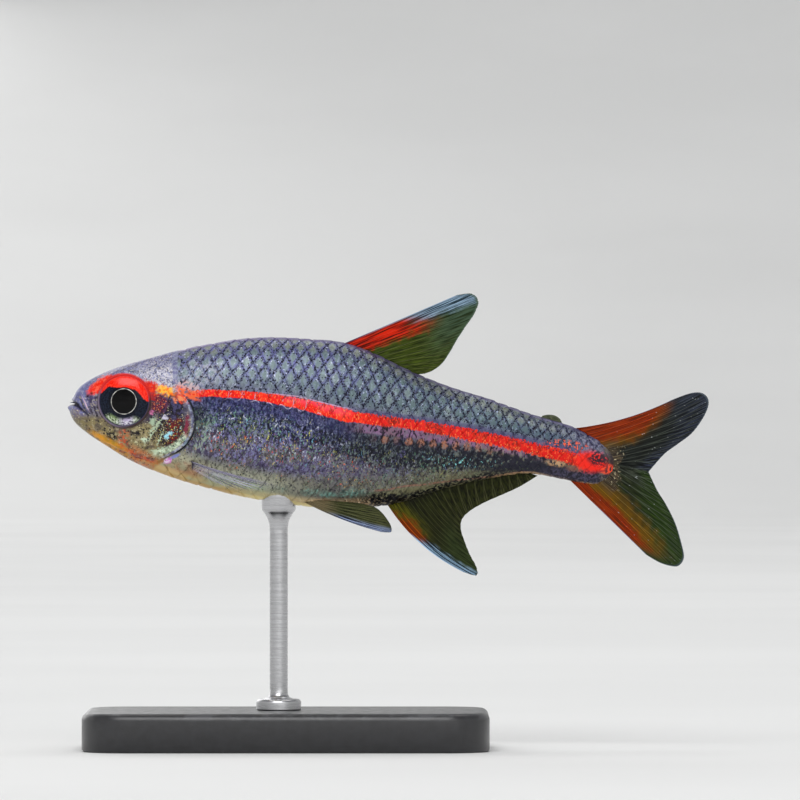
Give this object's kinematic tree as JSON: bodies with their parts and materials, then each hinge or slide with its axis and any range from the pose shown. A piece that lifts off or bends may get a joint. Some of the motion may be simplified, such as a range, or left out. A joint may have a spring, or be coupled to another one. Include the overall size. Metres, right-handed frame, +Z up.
{
  "type": "small freshwater fish display model",
  "caption": "Life-size glowlight tetra, a small silvery freshwater fish with a glowing red side stripe, held level in swimming pose by one rod on a plain flat stand.",
  "frame": {"origin": "middle of the whole model's length and width, on the floor under the stand's base", "axes": "+X from the fish's snout towards its tail, +Z up, and the fish's left side faces -Y"},
  "size_m": [0.0428, 0.015, 0.0304],
  "materials": {
    "silver_skin": "satin scaled skin, silvery lilac-blue with a red stripe",
    "throat_skin": "satin skin, golden olive",
    "gill_cover": "satin, iridescent maroon and silver-green",
    "eye": "clear gloss over a dark eye",
    "fin_membrane": "satin, translucent olive with fine rays",
    "tail_fin_membrane": "satin, translucent, red to olive with fine rays",
    "stand_lacquer": "satin black lacquer on steel",
    "stand_steel": "brushed"
  },
  "bodies": {
    "root": {"head": "silver_skin", "trunk": "silver_skin", "tail": "silver_skin", "lower_jaw": "throat_skin", "gill_cover_left": "gill_cover", "gill_cover_right": "gill_cover", "eye_left": "eye", "eye_right": "eye", "dorsal_fin": "fin_membrane", "adipose_fin": "fin_membrane", "anal_fin_front": "fin_membrane", "anal_fin_rear": "fin_membrane", "pelvic_fin_left": "fin_membrane", "pelvic_fin_right": "fin_membrane", "pectoral_fin_left": "fin_membrane", "pectoral_fin_right": "fin_membrane", "tail_fin_upper": "tail_fin_membrane", "tail_fin_lower": "tail_fin_membrane", "stand_base": "stand_lacquer", "stand_rod": "stand_steel"}
  },
  "joints": []
}
